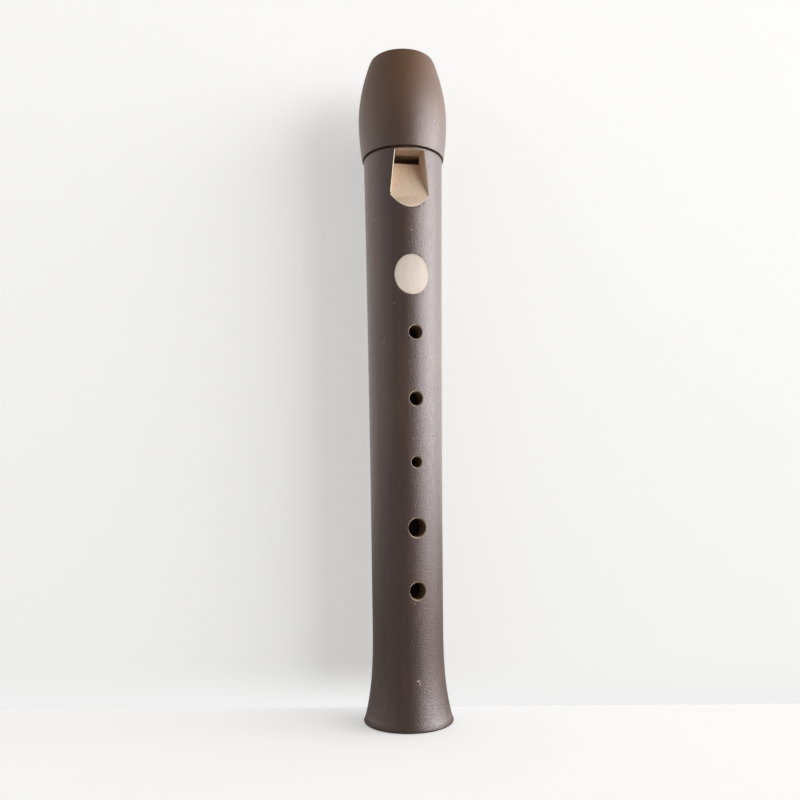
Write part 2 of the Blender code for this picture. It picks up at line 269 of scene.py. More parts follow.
def cap_radius(above_shoulder):
    """Outside radius of the cap: a belly that draws in to the edge and to the mouth."""
    if above_shoulder < CAP_BELLY_HEIGHT:
        share = 1 - above_shoulder / CAP_BELLY_HEIGHT
        return CAP_BELLY_RADIUS - (CAP_BELLY_RADIUS - CAP_EDGE_RADIUS) * share**2
    share = (above_shoulder - CAP_BELLY_HEIGHT) / (CAP_LENGTH - CAP_BELLY_HEIGHT)
    return CAP_BELLY_RADIUS - (CAP_BELLY_RADIUS - CAP_MOUTH_RADIUS) * share**CAP_SHOULDER_POWER


def windway_roof(height):
    """Height of the windway's roof above the bore's axis."""
    share = (height - WINDOW_TOP) / (MOUTH_HEIGHT - WINDOW_TOP)
    return WINDWAY_FLOOR + WINDWAY_EXIT + (WINDWAY_ENTRY - WINDWAY_EXIT) * share


def window_half_width(y, z):
    outward = -y - LABIUM_HEIGHT
    down = LABIUM_EDGE_HEIGHT - z
    return LABIUM_WIDTH / 2 + down * tan(WINDOW_SPLAY) + outward * tan(WINDOW_DRAFT)


def window_edge(height):
    """Where the window's side meets the tube's outside, as (half width, y)."""
    radius = tube_radius(height)
    back = -radius
    for step in range(EDGE_ROUNDS):
        half = window_half_width(back, height)
        back = -sqrt(radius**2 - half**2)
    return half, back


def ramp_height(below_labium):
    """Height of the ramp above the bore's axis."""
    return LABIUM_HEIGHT + below_labium * tan(RAMP_ANGLE)


def tube_outline():
    """The tube's section: tenon with the cork's groove, outside, foot end and bore."""
    groove_low = CORK_LOW.z - CLEARANCE
    groove_high = CORK_HIGH.z + CLEARANCE
    groove_radius = CORK_RADIUS - CORK_THICKNESS - CLEARANCE
    tenon = [
        (TENON_RADIUS - TENON_CHAMFER, TENON_TOP),
        (TENON_RADIUS, TENON_TOP - TENON_CHAMFER),
        (TENON_RADIUS, groove_high),
        (groove_radius, groove_high),
        (groove_radius, groove_low),
        (TENON_RADIUS, groove_low),
        (TENON_RADIUS, TUBE_LENGTH),
    ]
    shoulder = rounded_corner(tube_radius(TUBE_LENGTH), TUBE_LENGTH, SHOULDER_EDGE_ROUND, 1)
    heights = spaced(TUBE_LENGTH - SHOULDER_EDGE_ROUND, FOOT_EDGE_ROUND, RING_STEP)[1:-1]
    side = [(tube_radius(height), height) for height in heights]
    foot_corner = rounded_corner(tube_radius(0.0), 0.0, FOOT_EDGE_ROUND, -1)
    bore_heights = spaced(FOOT_BORE_CHAMFER, TENON_TOP, BORE_RING_STEP)
    bore = [(bore_radius(0.0) + FOOT_BORE_CHAMFER, 0.0)]
    bore += [(bore_radius(height), height) for height in bore_heights]
    return tenon + shoulder + side + foot_corner + bore


def cap_outline():
    """The cap's section: mouth end, outside, lower edge, socket and bore."""
    socket_top = TENON_TOP + CLEARANCE
    mouth = rounded_corner(cap_radius(CAP_LENGTH), MOUTH_HEIGHT, CAP_MOUTH_ROUND, 1)
    rings = spaced(CAP_LENGTH - CAP_MOUTH_ROUND, CLEARANCE + CAP_EDGE_ROUND, RING_STEP / 2)[1:-1]
    side = [(cap_radius(height), TUBE_LENGTH + height) for height in rings]
    edge = rounded_corner(cap_radius(CLEARANCE), CAP_BOTTOM, CAP_EDGE_ROUND, -1)
    socket = [
        (SOCKET_RADIUS + CAP_EDGE_ROUND, CAP_BOTTOM),
        (SOCKET_RADIUS, CAP_BOTTOM + CAP_EDGE_ROUND),
        (SOCKET_RADIUS, socket_top),
    ]
    bore = [(HEAD_BORE_RADIUS, height) for height in spaced(socket_top, MOUTH_HEIGHT, RING_STEP)]
    return mouth + side + edge + socket + bore


def block_outline():
    radius = HEAD_BORE_RADIUS - CLEARANCE
    heights = spaced(MOUTH_HEIGHT, WINDOW_TOP + BLOCK_CHAMFER, RING_STEP)
    side = [(radius, height) for height in heights]
    return [(0.0, MOUTH_HEIGHT)] + side + [(radius - BLOCK_CHAMFER, WINDOW_TOP), (0.0, WINDOW_TOP)]


def cork_outline():
    inner = CORK_RADIUS - CORK_THICKNESS
    upper = rounded_corner(CORK_RADIUS, CORK_HIGH.z, CORK_EDGE_ROUND, 1)
    lower = rounded_corner(CORK_RADIUS, CORK_LOW.z, CORK_EDGE_ROUND, -1)
    return [(inner, CORK_HIGH.z)] + upper + lower + [(inner, CORK_LOW.z)]


def add_object(name, mesh):
    obj = bpy.data.objects.new(name, mesh)
    bpy.context.scene.collection.objects.link(obj)
    return obj


def add_node(tree, kind, settings=None, **inputs):
    """A node with its settings, and its inputs by name: a socket is linked, a value is set."""
    node = tree.nodes.new(kind)
    for name, value in (settings or {}).items():
        setattr(node, name, value)
    for name, value in inputs.items():
        set_input(tree, node, name.replace("_", " "), value)
    return node


def set_input(tree, node, name, value):
    socket = node.inputs[name] if isinstance(name, int) else find_input(node, name)
    if isinstance(value, bpy.types.NodeSocket):
        tree.links.new(value, socket)
    else:
        socket.default_value = value


def find_input(node, name):
    matches = (socket for socket in node.inputs if socket.name.lower() == name.lower())
    return next(socket for socket in matches if socket.enabled)


def new_tree(kind, name, inputs, outputs):
    """An empty node group with named sockets, as (tree, its input node, its output node)."""
    tree = bpy.data.node_groups.new(name, kind)
    for label, socket_type, value in inputs:
        socket = tree.interface.new_socket(label, in_out="INPUT", socket_type=socket_type)
        if value is not None:
            socket.default_value = value
    for label, socket_type in outputs:
        tree.interface.new_socket(label, in_out="OUTPUT", socket_type=socket_type)
    return tree, tree.nodes.new("NodeGroupInput"), tree.nodes.new("NodeGroupOutput")


def lathe_tree():
    """Geometry nodes that turn an outline, drawn in X and Z, about Z."""
    tree, given, made = new_tree(
        "GeometryNodeTree",
        "turn_on_lathe",
        [
            ("Outline", "NodeSocketGeometry", None),
            ("Sides", "NodeSocketInt", SIDES),
            ("Material", "NodeSocketMaterial", None),
        ],
        [("Piece", "NodeSocketGeometry")],
    )
    place = add_node(tree, "GeometryNodeInputPosition")
    parts = add_node(tree, "ShaderNodeSeparateXYZ", Vector=place.outputs[0])
    outward = calculate(tree, "SUBTRACT", parts.outputs["X"], PATH_RADIUS)
    downward = calculate(tree, "MULTIPLY", parts.outputs["Z"], -1.0)
    flat = add_node(tree, "ShaderNodeCombineXYZ", X=outward, Y=downward)
    drawn = add_node(
        tree,
        "GeometryNodeSetPosition",
        Geometry=given.outputs["Outline"],
        Position=flat.outputs[0],
    )
    outline = add_node(tree, "GeometryNodeMeshToCurve", Mesh=drawn.outputs[0])
    circle = add_node(
        tree,
        "GeometryNodeCurvePrimitiveCircle",
        {"mode": "RADIUS"},
        Resolution=given.outputs["Sides"],
        Radius=PATH_RADIUS,
    )
    swept = add_node(
        tree, "GeometryNodeCurveToMesh", Curve=circle.outputs[0], Profile_Curve=outline.outputs[0]
    )
    merged = add_node(
        tree, "GeometryNodeMergeByDistance", Geometry=swept.outputs[0], Distance=SWEEP_MERGE
    )
    set_down(tree, merged.outputs[0], given.outputs["Material"], made)
    return tree


def row_tree():
    """Geometry nodes that set one form at each point, turned and sized as the point says."""
    tree, given, made = new_tree(
        "GeometryNodeTree",
        "set_in_a_row",
        [
            ("Points", "NodeSocketGeometry", None),
            ("Form", "NodeSocketObject", None),
            ("Material", "NodeSocketMaterial", None),
        ],
        [("Row", "NodeSocketGeometry")],
    )
    form = add_node(
        tree,
        "GeometryNodeObjectInfo",
        {"transform_space": "ORIGINAL"},
        Object=given.outputs["Form"],
    )
    vector = {"data_type": "FLOAT_VECTOR"}
    turned_by = add_node(tree, "GeometryNodeInputNamedAttribute", vector, Name="turn")
    sized_by = add_node(tree, "GeometryNodeInputNamedAttribute", vector, Name="size")
    rotation = add_node(tree, "FunctionNodeEulerToRotation", Euler=turned_by.outputs[0])
    copies = add_node(
        tree,
        "GeometryNodeInstanceOnPoints",
        Points=given.outputs["Points"],
        Instance=form.outputs["Geometry"],
        Rotation=rotation.outputs[0],
        Scale=sized_by.outputs[0],
    )
    set_down(tree, copies.outputs[0], given.outputs["Material"], made)
    return tree


def set_down(tree, geometry, material, made):
    """Ends a geometry tree: real faces, with the material that the tree was given."""
    real = add_node(tree, "GeometryNodeRealizeInstances", Geometry=geometry)
    finished = add_node(
        tree, "GeometryNodeSetMaterial", Geometry=real.outputs[0], Material=material
    )
    tree.links.new(finished.outputs[0], made.inputs[0])


def grow(obj, tree, values):
    """Runs a geometry tree on an object with inputs by name, and keeps the plain mesh."""
    modifier = obj.modifiers.new(tree.name, "NODES")
    modifier.node_group = tree
    for item in tree.interface.items_tree:
        if item.item_type == "SOCKET" and item.in_out == "INPUT" and item.name in values:
            modifier[item.identifier] = values[item.name]
    keep_evaluated(obj)
    face_outwards(obj.data)
    return obj


def keep_evaluated(obj):
    graph = bpy.context.evaluated_depsgraph_get()
    mesh = bpy.data.meshes.new_from_object(obj.evaluated_get(graph))
    obj.modifiers.clear()
    obj.data = mesh


def face_outwards(mesh):
    shape = bmesh.new()
    shape.from_mesh(mesh)
    bmesh.ops.remove_doubles(shape, verts=shape.verts, dist=DOUBLES_DISTANCE)
    bmesh.ops.recalc_face_normals(shape, faces=shape.faces)
    shape.to_mesh(mesh)
    shape.free()


def turned(name, outline, material, closed=True, sides=SIDES):
    """A round piece from a section of (radius, height) points."""
    shape = bmesh.new()
    points = [shape.verts.new((radius, 0.0, height)) for radius, height in outline]
    for start, end in zip(points, points[1:]):
        shape.edges.new((start, end))
    if closed:
        shape.edges.new((points[-1], points[0]))
    mesh = bpy.data.meshes.new(name)
    shape.to_mesh(mesh)
    shape.free()
    return grow(add_object(name, mesh), TREES["lathe"], {"Sides": sides, "Material": material})


def in_a_row(name, form, places, material):
    """Copies of a form at (point, turn, size) places, as one mesh."""
    mesh = bpy.data.meshes.new(name)
    mesh.from_pydata([point for point, turn, size in places], [], [])
    for label, column in (("turn", 1), ("size", 2)):
        attribute = mesh.attributes.new(label, "FLOAT_VECTOR", "POINT")
        for i, place in enumerate(places):
            attribute.data[i].vector = place[column]
    row = grow(add_object(name, mesh), TREES["row"], {"Form": form, "Material": material})
    bpy.data.objects.remove(form)
    return row


def slab(name, outline, half_width, material):
    """A closed outline of (y, z) points, given width along X: half_width(y, z) to each side."""
    shape = bmesh.new()
    face = shape.faces.new([shape.verts.new((0.0, y, z)) for y, z in outline])
    made = bmesh.ops.extrude_face_region(shape, geom=[face])["geom"]
    moved = {item for item in made if isinstance(item, bmesh.types.BMVert)}
    for point in shape.verts:
        side = 1.0 if point in moved else -1.0
        point.co.x = side * half_width(point.co.y, point.co.z)
    bmesh.ops.recalc_face_normals(shape, faces=shape.faces)
    mesh = bpy.data.meshes.new(name)
    shape.to_mesh(mesh)
    shape.free()
    mesh.materials.append(material)
    return add_object(name, mesh)


def drum_across(name, radius, length, back, height, sides, material):
    """A cylinder lying along X, with its axis at y = back and z = height."""
    shape = bmesh.new()
    place = Matrix.Translation((0.0, back, height)) @ Matrix.Rotation(pi / 2, 4, "Y")
    bmesh.ops.create_cone(
        shape,
        cap_ends=True,
        segments=sides,
        radius1=radius,
        radius2=radius,
        depth=length,
        matrix=place,
    )
    mesh = bpy.data.meshes.new(name)
    shape.to_mesh(mesh)
    shape.free()
    mesh.materials.append(material)
    return add_object(name, mesh)


def combine(obj, operation, *others):
    """Cuts others out of obj, or joins them to it. New faces keep the other's material."""
    for other in others:
        modifier = obj.modifiers.new(other.name, "BOOLEAN")
        modifier.operation = operation
        modifier.object = other
        modifier.solver = "EXACT"
        modifier.material_mode = "TRANSFER"
        keep_evaluated(obj)
        bpy.data.objects.remove(other)
    return obj


def give_material(obj, material, belongs):
    """The faces whose centre belongs get the material."""
    obj.data.materials.append(material)
    index = len(obj.data.materials) - 1
    for face in obj.data.polygons:
        if belongs(face.center):
            face.material_index = index


def finish_piece(obj, node, body):
    """Shades a piece, and sets it in the node's place on its body."""
    obj.data.shade_smooth()
    obj.data.set_sharp_from_angle(angle=SHARP_ANGLE)
    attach(obj, body)
    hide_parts(node)


def window_cutters():
    """The window with its ramp, the undercut below the labium, and the channel of the windway."""
    outside = -(TUBE_TOP_RADIUS + CUT_MARGIN)
    ramp_end = LABIUM_EDGE_HEIGHT - (-outside - LABIUM_HEIGHT) / tan(RAMP_ANGLE)
    inside = -(sqrt(HEAD_BORE_RADIUS**2 - (WINDWAY_WIDTH / 2) ** 2) - CUT_MARGIN)
    opening = [
        (inside, WINDOW_TOP),
        (outside, WINDOW_TOP),
        (outside, ramp_end),
        (-LABIUM_HEIGHT, LABIUM_EDGE_HEIGHT),
        (inside, LABIUM_EDGE_HEIGHT),
    ]
    under = -(LABIUM_HEIGHT - LABIUM_EDGE)
    above = LABIUM_EDGE_HEIGHT + CUT_UP / 2
    wedge = [
        (inside, above),
        (under, above),
        (under, LABIUM_EDGE_HEIGHT - UNDERCUT_LENGTH / 3),
        (inside, LABIUM_EDGE_HEIGHT - UNDERCUT_LENGTH),
    ]
    bare = MATERIALS["bare"]
    return [
        windway_cutter("tube_windway", WINDOW_TOP - CUT_UP / 2, TENON_TOP + CUT_MARGIN),
        slab("window_opening", opening, window_half_width, bare),
        slab("labium_undercut", wedge, lambda y, z: LABIUM_WIDTH / 2, bare),
        window_easing(),
    ]


def window_easing():
    """Bevels the window's long edges, down to where the ramp comes as near to the outside."""
    depth = WINDOW_EASE + EASE_OVERLAP
    low = LABIUM_EDGE_HEIGHT
    while ramp_height(LABIUM_EDGE_HEIGHT - low) < -window_edge(low)[1] - depth:
        low -= EASE_STEP
    high = WINDOW_TOP + EASE_STEP
    high_back = window_edge(high)[1]
    low_back = window_edge(low)[1]
    outline = [
        (high_back + depth, high),
        (high_back - CUT_MARGIN, high),
        (low_back - CUT_MARGIN, low),
        (low_back + depth, low),
    ]

    def half_width(y, z):
        seat = window_edge(z)[1] + WINDOW_EASE
        return window_half_width(seat, z) + (seat - y) * tan(WINDOW_EASE_ANGLE)

    # Its faces get very pale wood, a painted highlight on the bevel.
    return slab("window_easing", outline, half_width, MATERIALS["nick_and_painted_edge_highlight"])


def windway_cutter(name, low, high):
    outline = [(0.0, low), (0.0, high), (-windway_roof(high), high), (-windway_roof(low), low)]
    return slab(name, outline, lambda y, z: WINDWAY_WIDTH / 2, MATERIALS["bore"])


def finger_rest_cutter():
    """The drum of the finger rest. Its depth gives the width, and its radius the length."""
    radius = tube_radius(REST_HEIGHT)
    depth = radius - sqrt(radius**2 - (REST_WIDTH / 2) ** 2)
    drum = ((REST_LENGTH / 2) ** 2 + depth**2) / (2 * depth)
    back = -(radius - depth + drum)
    cutter = drum_across(
        "finger_rest", drum, 3 * REST_WIDTH, back, REST_HEIGHT, REST_SIDES, MATERIALS["rest"]
    )
    cutter.data.transform(Matrix.Rotation(REST_TURN, 4, "Z"))
    return cutter


def facing(turn):
    """The level direction that is turned this far from the front, towards +X."""
    return Vector((sin(turn), -cos(turn), 0.0))


def nick_cutters():
    """The nick's gouges: flat ellipsoids, half sunk in the outside."""
    gouges = []
    across = Vector((cos(NICK_TURN), sin(NICK_TURN), 0.0))
    for sideways, height, half_length, lean in NICK_GOUGES:
        place = facing(NICK_TURN) * tube_radius(height) + across * sideways + UPWARD * height
        turn = Matrix.Rotation(NICK_TURN, 4, "Z") @ Matrix.Rotation(lean, 4, "Y")
        size = Matrix.Diagonal((NICK_HALF_WIDTH, NICK_DEPTH, half_length, 1.0))
        shape = bmesh.new()
        bmesh.ops.create_icosphere(
            shape,
            subdivisions=GOUGE_FINENESS,
            radius=1.0,
            matrix=Matrix.Translation(place) @ turn @ size,
        )
        mesh = bpy.data.meshes.new("gouge")
        shape.to_mesh(mesh)
        shape.free()
        mesh.materials.append(MATERIALS["nick_and_painted_edge_highlight"])
        gouges.append(add_object("gouge", mesh))
    return gouges


def hole_cutters():
    """The countersinks and then the drilled holes, each as one row."""
    rim_wood = MATERIALS["rim"]
    wall_wood = MATERIALS["hole"]
    cone = [(0.0, TUBE_TOP_RADIUS), (TUBE_TOP_RADIUS, TUBE_TOP_RADIUS), (0.0, 0.0)]
    rod = [(0.0, 1.0), (1.0, 1.0), (1.0, 0.0), (0.0, 0.0)]
    sink = turned("countersink", cone, rim_wood, closed=False, sides=HOLE_SIDES)
    drill = turned("drill", rod, wall_wood, closed=False, sides=HOLE_SIDES)
    holes = [(height, diameter, HOLE_ROW_TURN) for height, diameter in FINGER_HOLES]
    holes.append((*THUMB_HOLE, HOLE_ROW_TURN + pi))
    sinks = []
    drills = []
    for height, diameter, turn in holes:
        width = diameter / 2
        rim = width + HOLE_RIM
        surface = sqrt(tube_radius(height) ** 2 - rim**2 / 2)
        tilt = (pi / 2, 0.0, turn)
        tip = facing(turn) * (surface - rim) + UPWARD * height
        sinks.append((tip, tilt, (1.0, 1.0, 1.0)))
        drills.append((UPWARD * height, tilt, (width, width, TUBE_TOP_RADIUS + CUT_MARGIN)))
    countersinks = in_a_row("countersinks", sink, sinks, rim_wood)
    drilled_holes = in_a_row("drilled_holes", drill, drills, wall_wood)
    return [countersinks, drilled_holes]


def beak_cutter(name, material):
    return drum_across(
        name,
        BEAK_RADIUS,
        3 * CAP_BELLY_RADIUS,
        BEAK_BACK + BEAK_RADIUS,
        MOUTH_HEIGHT + BEAK_CENTRE_ABOVE_MOUTH,
        BEAK_SIDES,
        material,
    )


def make_tube():
    tube = turned("turned_tube", tube_outline(), MATERIALS["stained"])
    give_material(tube, MATERIALS["bare"], on_tenon)
    give_material(tube, MATERIALS["bore"], inside_tube)
    combine(tube, "DIFFERENCE", *window_cutters(), finger_rest_cutter(), *hole_cutters())
    combine(tube, "DIFFERENCE", *nick_cutters())
    finish_piece(tube, "body_tube", "tube")


def on_tenon(place):
    return place.z > TUBE_LENGTH


def inside_tube(place):
    return place.xy.length < bore_radius(place.z) + FOOT_BORE_CHAMFER / 2


def make_cap():
    cap = turned("turned_cap", cap_outline(), MATERIALS["stained"])
    give_material(cap, MATERIALS["bore"], inside_cap)
    windway = windway_cutter("cap_windway", TENON_TOP - CUT_MARGIN, MOUTH_HEIGHT + CUT_MARGIN)
    combine(cap, "DIFFERENCE", windway, beak_cutter("cap_beak", MATERIALS["stained"]))
    finish_piece(cap, "mouthpiece_cap", "cap")


def inside_cap(place):
    in_socket = place.z < TENON_TOP + 2 * CLEARANCE
    wall = SOCKET_RADIUS if in_socket else HEAD_BORE_RADIUS
    return place.xy.length < wall + CLEARANCE


def make_block():
    wood = MATERIALS["block"]
    block = turned("keyed_block", block_outline(), wood, closed=False)
    floor = [
        (-WINDWAY_FLOOR, WINDOW_TOP),
        (0.0, WINDOW_TOP),
        (0.0, MOUTH_HEIGHT),
        (-WINDWAY_FLOOR, MOUTH_HEIGHT),
    ]
    crown = [
        (-HEAD_BORE_RADIUS - CUT_MARGIN, WINDOW_TOP - CUT_MARGIN),
        (-WINDWAY_FLOOR, WINDOW_TOP - CUT_MARGIN),
        (-WINDWAY_FLOOR, MOUTH_HEIGHT + CUT_MARGIN),
        (-HEAD_BORE_RADIUS - CUT_MARGIN, MOUTH_HEIGHT + CUT_MARGIN),
    ]
    ridge = slab("block_floor", floor, lambda y, z: WINDWAY_WIDTH / 2 - CLEARANCE, wood)
    trim = slab("block_crown", crown, lambda y, z: HEAD_BORE_RADIUS, wood)
    combine(block, "UNION", ridge)
    combine(block, "DIFFERENCE", trim, beak_cutter("block_beak", wood))
    finish_piece(block, "block", "block")


def make_cork():
    cork = turned("cork_ring", cork_outline(), MATERIALS["cork"])
    finish_piece(cork, "tenon_cork", "tube")


def grain_group():
    """Noise drawn out along the wood's fibres, from 0 to 1 about a contrast."""
    tree, given, made = new_tree(
        "ShaderNodeTree",
        "grain",
        [
            ("Place", "NodeSocketVector", None),
            ("Across", "NodeSocketFloat", 1000.0),
            ("Along", "NodeSocketFloat", 50.0),
            ("Detail", "NodeSocketFloat", 3.0),
            ("Low", "NodeSocketFloat", 0.35),
            ("High", "NodeSocketFloat", 0.65),
        ],
        [("Mask", "NodeSocketFloat")],
    )
    scale = add_node(
        tree,
        "ShaderNodeCombineXYZ",
        X=given.outputs["Across"],
        Y=given.outputs["Across"],
        Z=given.outputs["Along"],
    )
    stretched = add_node(tree, "ShaderNodeVectorMath", {"operation": "MULTIPLY"})
    set_input(tree, stretched, 0, given.outputs["Place"])
    set_input(tree, stretched, 1, scale.outputs[0])
    noise = add_node(
        tree,
        "ShaderNodeTexNoise",
        Vector=stretched.outputs[0],
        Scale=1.0,
        Detail=given.outputs["Detail"],
    )
    contrast = {"From_Min": given.outputs["Low"], "From_Max": given.outputs["High"]}
    tree.links.new(ranged(tree, noise.outputs[0], **contrast), made.inputs[0])
    return tree


def speck_group():
    """Small scattered specks: 1 inside a speck and 0 elsewhere."""
    tree, given, made = new_tree(
        "ShaderNodeTree",
        "specks",
        [
            ("Place", "NodeSocketVector", None),
            ("Per Metre", "NodeSocketFloat", 300.0),
            ("Size", "NodeSocketFloat", 0.12),
            ("Share", "NodeSocketFloat", 0.1),
        ],
        [("Mask", "NodeSocketFloat")],
    )
    cells = add_node(
        tree,
        "ShaderNodeTexVoronoi",
        Vector=given.outputs["Place"],
        Scale=given.outputs["Per Metre"],
    )
    near = calculate(tree, "LESS_THAN", cells.outputs["Distance"], given.outputs["Size"])
    chance = add_node(tree, "ShaderNodeSeparateColor", Color=cells.outputs["Color"])
    chosen = calculate(tree, "LESS_THAN", chance.outputs[0], given.outputs["Share"])
    tree.links.new(calculate(tree, "MULTIPLY", near, chosen), made.inputs[0])
    return tree


def cut_edge_group():
    """1 just under the tube's outside, fading to 0 at the given depth."""
    tree, given, made = new_tree(
        "ShaderNodeTree",
        "cut_edge",
        [("Place", "NodeSocketVector", None), ("Depth", "NodeSocketFloat", 0.4 * MM)],
        [("Mask", "NodeSocketFloat")],
    )
    parts = add_node(tree, "ShaderNodeSeparateXYZ", Vector=given.outputs["Place"])
    flat = add_node(tree, "ShaderNodeCombineXYZ", X=parts.outputs["X"], Y=parts.outputs["Y"])
    across = add_node(tree, "ShaderNodeVectorMath", {"operation": "LENGTH"}, Vector=flat.outputs[0])
    widening = TUBE_TOP_RADIUS - TUBE_LOW_RADIUS
    share = calculate(tree, "DIVIDE", parts.outputs["Z"], TUBE_LENGTH)
    straight = calculate(tree, "MULTIPLY", share, TAPER_STRAIGHT_SHARE * widening)
    squared = calculate(tree, "MULTIPLY", share, share)
    bowed = calculate(tree, "MULTIPLY", squared, (1 - TAPER_STRAIGHT_SHARE) * widening)
    taper = calculate(tree, "ADD", straight, bowed)
    outside = calculate(tree, "ADD", taper, TUBE_LOW_RADIUS)
    depth = calculate(tree, "SUBTRACT", outside, across.outputs["Value"])
    fade = ranged(tree, depth, From_Min=given.outputs["Depth"], From_Max=0.0)
    tree.links.new(fade, made.inputs[0])
    return tree


def calculate(tree, operation, first, second):
    """A Math node's result, from sockets or numbers."""
    node = add_node(tree, "ShaderNodeMath", {"operation": operation})
    set_input(tree, node, 0, first)
    set_input(tree, node, 1, second)
    return node.outputs[0]


def ranged(tree, value, smooth=False, **ends):
    """A Map Range node's result, with the ends of its two ranges by name."""
    settings = {"interpolation_type": "SMOOTHSTEP"} if smooth else {}
    return add_node(tree, "ShaderNodeMapRange", settings, Value=value, **ends).outputs[0]


def from_mask(tree, mask, start, rise):
    """start where the mask is 0, and start + rise where it is 1."""
    return calculate(tree, "ADD", calculate(tree, "MULTIPLY", mask, rise), start)


def mixed(tree, mask, first, second, share=1.0):
    """A colour mix's result, up to a share of the second. They are sockets or (r, g, b) colours."""
    if share != 1.0:
        mask = calculate(tree, "MULTIPLY", mask, share)
    node = add_node(tree, "ShaderNodeMix", {"data_type": "RGBA"}, Factor=mask)
    for name, value in (("A", first), ("B", second)):
        colour = value if isinstance(value, bpy.types.NodeSocket) else (*value, 1.0)
        set_input(tree, node, name, colour)
    return next(socket for socket in node.outputs if socket.enabled)


def use_group(tree, name, **inputs):
    node = add_node(tree, "ShaderNodeGroup", {"node_tree": GROUPS[name]}, **inputs)
    return node.outputs[0]


def wood_place(tree):
    return add_node(tree, "ShaderNodeTexCoord").outputs["Object"]


def new_material(name, **constants):
    """A material with its Principled shader, whose plain values are set on the shader."""
    material = bpy.data.materials.new(name)
    material.use_nodes = True
    tree = material.node_tree
    shader = tree.nodes["Principled BSDF"]
    for label, value in constants.items():
        set_input(tree, shader, label.replace("_", " "), value)
    return material, tree, shader


def bump(tree, shader, height, depth, strength):
    node = add_node(tree, "ShaderNodeBump", Strength=strength, Distance=depth, Height=height)
    tree.links.new(node.outputs[0], shader.inputs["Normal"])


def stained_wood():
    """Dark brown stain under a satin varnish, on fine straight grain, and worn warm on the cap."""
    material, tree, shader = new_material(
        "stained_wood", IOR=1.6, Specular_IOR_Level=1.0, Specular_Tint=VARNISH_TINT
    )
    place = wood_place(tree)
    streaks = use_group(tree, "grain", Place=place, Across=420.0, Along=9.0, Detail=4.0)
    fibres = use_group(tree, "grain", Place=place, Across=2600.0, Along=240.0, Detail=2.0)
    patches = use_group(tree, "grain", Place=place, Across=70.0, Along=14.0, Low=0.5, High=0.75)
    pebbles = use_group(
        tree, "grain", Place=place, Across=1900.0, Along=1700.0, Detail=1.5, Low=0.3, High=0.7
    )
    pores = use_group(
        tree, "grain", Place=place, Across=3000.0, Along=700.0, Detail=1.0, Low=0.62, High=0.70
    )
    specks = use_group(tree, "specks", Place=place, Per_Metre=260.0, Size=0.09, Share=0.09)
    worn = worn_mask(tree, place)
    colour = mixed(tree, streaks, STAIN_DARK, STAIN_MID, share=0.7)
    colour = mixed(tree, fibres, colour, STAIN_MID, share=0.3)
    colour = mixed(tree, patches, colour, STAIN_WARM, share=0.5)
    colour = mixed(tree, pores, colour, STAIN_DARK, share=0.5)
    colour = mixed(tree, worn, colour, STAIN_WORN, share=0.9)
    colour = mixed(tree, specks, colour, BARE_MID, share=0.5)
    tree.links.new(colour, shader.inputs["Base Color"])
    rough = from_mask(tree, fibres, start=0.35, rise=0.10)
    rough = from_mask(tree, worn, start=rough, rise=0.12)
    tree.links.new(rough, shader.inputs["Roughness"])
    height = from_mask(tree, pores, start=pebbles, rise=-0.4)
    left_by_wear = from_mask(tree, worn, start=1.0, rise=-0.75)
    height = calculate(tree, "MULTIPLY", height, left_by_wear)
    bump(tree, shader, height, depth=PEBBLE_DEPTH, strength=1.0)
    return material


def worn_mask(tree, place):
    """How far handling has worn the varnish: only on the cap, and most at the mouth."""
    height = add_node(tree, "ShaderNodeSeparateXYZ", Vector=place).outputs["Z"]
    on_cap = calculate(tree, "GREATER_THAN", height, CAP_BOTTOM - CLEARANCE)
    worn_from = CAP_BOTTOM + WORN_LENGTH
    upwards = ranged(
        tree, height, smooth=True, From_Min=CAP_BOTTOM, From_Max=worn_from, To_Min=WORN_LEAST
    )
    return calculate(tree, "MULTIPLY", on_cap, upwards)


def crease_masks(tree, place):
    """The ramp's slanting knife mark, and the wood below it, as two masks. The wood below is
    painted lighter, as painted light standing in for a lower facet at another slope.
    """
    parts = add_node(tree, "ShaderNodeSeparateXYZ", Vector=place)
    middle = LABIUM_EDGE_HEIGHT - CREASE_BELOW_LABIUM
    mark_height = from_mask(tree, parts.outputs["X"], start=middle, rise=CREASE_SLANT)
    above = calculate(tree, "SUBTRACT", parts.outputs["Z"], mark_height)
    distance = calculate(tree, "ABSOLUTE", above, 0.0)
    mark = ranged(tree, distance, From_Min=CREASE_WIDTH, From_Max=0.0)
    return mark, calculate(tree, "LESS_THAN", above, 0.0)


def window_wood():
    """The bare wood of window and tenon, with the knife's mark on the ramp, and the ramp below the
    mark painted lighter as painted light.
    """
    # its wood just under the outside is painted paler: a painted highlight along the window's
    # rounded edges
    material = plain_wood("bare_wood", BARE_LIGHT, BARE_MID, PALE_MARK_AND_PAINTED_HIGHLIGHT, 0.8)
    tree = material.node_tree
    shader = tree.nodes["Principled BSDF"]
    mark, lower_facet_painted_light = crease_masks(tree, wood_place(tree))
    colour = shader.inputs["Base Color"].links[0].from_socket
    colour = mixed(tree, lower_facet_painted_light, colour, PALE_MARK_AND_PAINTED_HIGHLIGHT, share=0.18)
    colour = mixed(tree, mark, colour, PALE_MARK_AND_PAINTED_HIGHLIGHT, share=0.7)
    tree.links.new(colour, shader.inputs["Base Color"])
    return material


